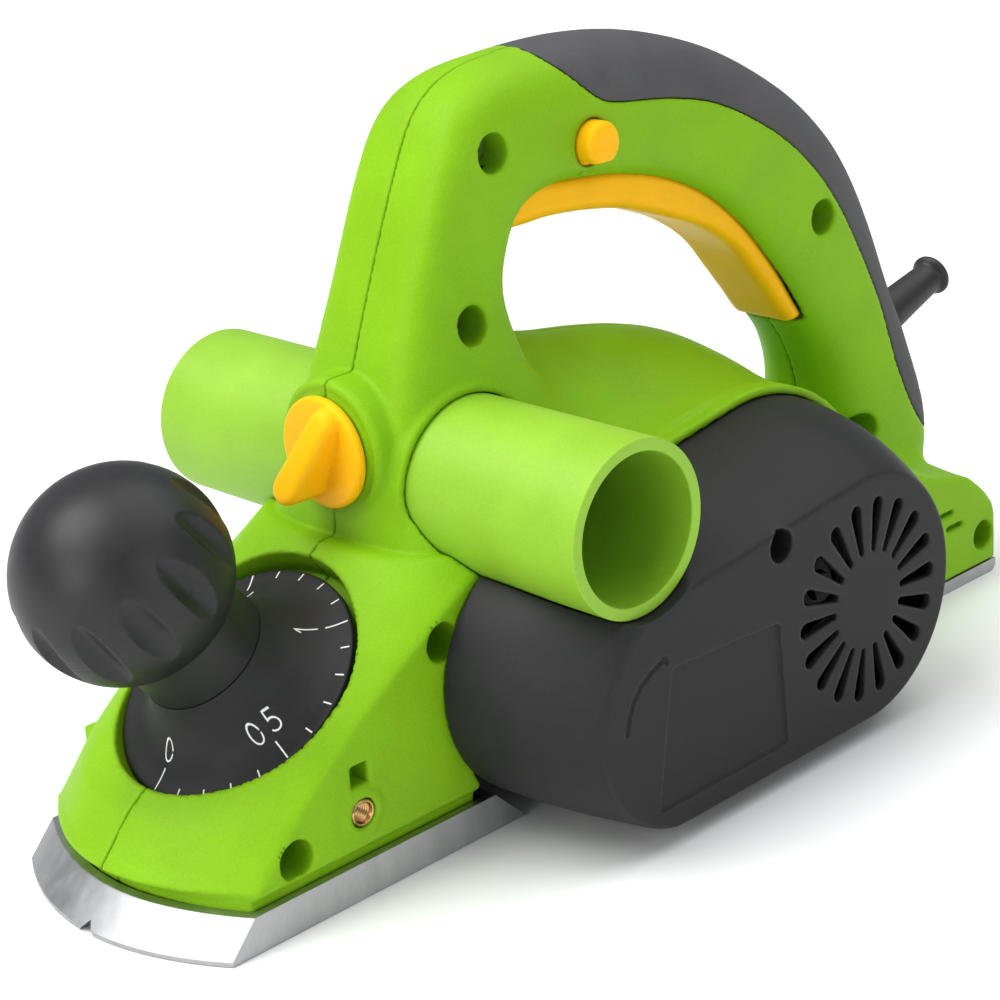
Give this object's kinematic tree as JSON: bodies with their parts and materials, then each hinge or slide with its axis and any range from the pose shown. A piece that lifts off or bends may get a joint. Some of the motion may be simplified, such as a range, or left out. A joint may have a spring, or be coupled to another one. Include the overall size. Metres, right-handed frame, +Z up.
{
  "type": "electric hand planer",
  "caption": "Belt-driven electric hand planer with a closed loop handle, a trigger, a ball depth knob on a dial, a cross chip duct and two flat shoes.",
  "frame": {"origin": "centre of the rear sole's underside, on the plane that the tool rides on", "axes": "+X rearward (the depth knob is at -X), -Y the belt cover's side, +Z up from the sole"},
  "size_m": [0.3485, 0.1645, 0.189],
  "materials": {
    "green_plastic": "fine satin moulded plastic",
    "soft_grip": "matte soft grip",
    "black_plastic": "moulded plastic",
    "yellow_plastic": "satin moulded plastic",
    "knob_plastic": "satin moulded plastic",
    "steel": "bright steel",
    "shoe_aluminium": "milled cast aluminium",
    "cast_aluminium": "cast and turned",
    "dark_steel": "blackened or laminated steel",
    "belt_rubber": "matte ribbed belt",
    "cover_plastic": "fine grained moulded plastic",
    "copper": "enamelled or turned copper",
    "brass": "turned brass",
    "carbon": "pressed carbon",
    "sleeve_rubber": "matte rubber"
  },
  "bodies": {
    "planer_body": {"housing_left": "green_plastic", "housing_right": "green_plastic", "handle_grip": "soft_grip", "chip_duct": "green_plastic", "rear_shoe": "shoe_aluminium", "rear_shoe_screw_1": "steel", "rear_shoe_screw_2": "steel", "drum_bearing_left": "steel", "drum_bearing_right": "steel", "motor_bearing_left": "steel", "motor_bearing_right": "steel", "bearing_bridge": "cast_aluminium", "drum_end_plate": "black_plastic", "drive_belt": "belt_rubber", "belt_cover": "cover_plastic", "cover_screw": "steel", "stator_core": "dark_steel", "field_coil_top": "copper", "field_coil_bottom": "copper", "brush_holder_front": "brass", "carbon_brush_front": "carbon", "brush_holder_rear": "brass", "carbon_brush_rear": "carbon", "trigger_pin": "steel", "trigger_spring": "steel", "power_switch": "black_plastic", "button_spring": "steel", "cord_sleeve": "sleeve_rubber", "cord_clamp": "black_plastic", "fence_insert": "brass", "housing_screw_1": "steel", "housing_screw_2": "steel", "housing_screw_3": "steel", "housing_screw_4": "steel", "housing_screw_5": "steel", "housing_screw_6": "steel", "housing_screw_7": "steel"},
    "depth_knob": {"depth_knob": "knob_plastic", "depth_dial": "knob_plastic", "depth_spindle": "steel"},
    "front_shoe": {"front_shoe": "shoe_aluminium", "shoe_guide_pin_left": "steel", "shoe_guide_pin_right": "steel"},
    "trigger": {"trigger": "yellow_plastic"},
    "lock_off_button": {"lock_off_button": "yellow_plastic"},
    "chip_selector": {"chip_selector_knob": "yellow_plastic", "chip_deflector": "black_plastic"},
    "motor_rotor": {"motor_shaft": "steel", "armature_core": "dark_steel", "commutator": "copper", "cooling_fan": "black_plastic", "motor_pulley": "dark_steel"},
    "cutter": {"cutter_drum": "cast_aluminium", "blade_1": "steel", "blade_2": "steel", "blade_clamp_1": "dark_steel", "blade_clamp_2": "dark_steel", "drum_pulley": "dark_steel", "drum_pulley_nut": "steel"}
  },
  "joints": [
    {"name": "depth_turn", "type": "hinge", "parent": "planer_body", "child": "depth_knob", "pos_m": [-0.1747, 0, 0.0478], "axis": [0.6018, 0, -0.7986], "range_deg": [0, 288]},
    {"name": "front_shoe_slide", "type": "slide", "parent": "planer_body", "child": "front_shoe", "axis": [-0.6018, 0, 0.7986], "range_m": [0, 0.00251]},
    {"name": "trigger_pull", "type": "hinge", "parent": "planer_body", "child": "trigger", "pos_m": [-0.08604, 0, 0.15593], "axis": [0, -1, 0], "range_deg": [0, 3.4], "stiffness_Nm_per_rad": 5, "springref_deg": -1.72, "deforming": ["trigger_spring"]},
    {"name": "lock_off_press", "type": "slide", "parent": "planer_body", "child": "lock_off_button", "axis": [0, 1, 0], "range_m": [0, 0.004], "stiffness_N_per_m": 400, "springref_m": -0.002, "deforming": ["button_spring"]},
    {"name": "chip_select", "type": "hinge", "parent": "planer_body", "child": "chip_selector", "pos_m": [-0.1379, 0, 0.0986], "axis": [-1, 0, 0], "range_deg": [0, 50]},
    {"name": "motor_spin", "type": "hinge", "parent": "planer_body", "child": "motor_rotor", "pos_m": [-0.027, 0, 0.041], "axis": [0, 1, 0], "continuous": true},
    {"name": "drum_spin", "type": "hinge", "parent": "planer_body", "child": "cutter", "pos_m": [-0.104, 0, 0.028], "axis": [0, 1, 0], "continuous": true}
  ],
  "couplings": [
    {"joint": "front_shoe_slide", "follows": "depth_turn", "m_per_rad": 0.00049821},
    {"joint": "motor_spin", "follows": "drum_spin", "ratio": 1.7263}
  ]
}
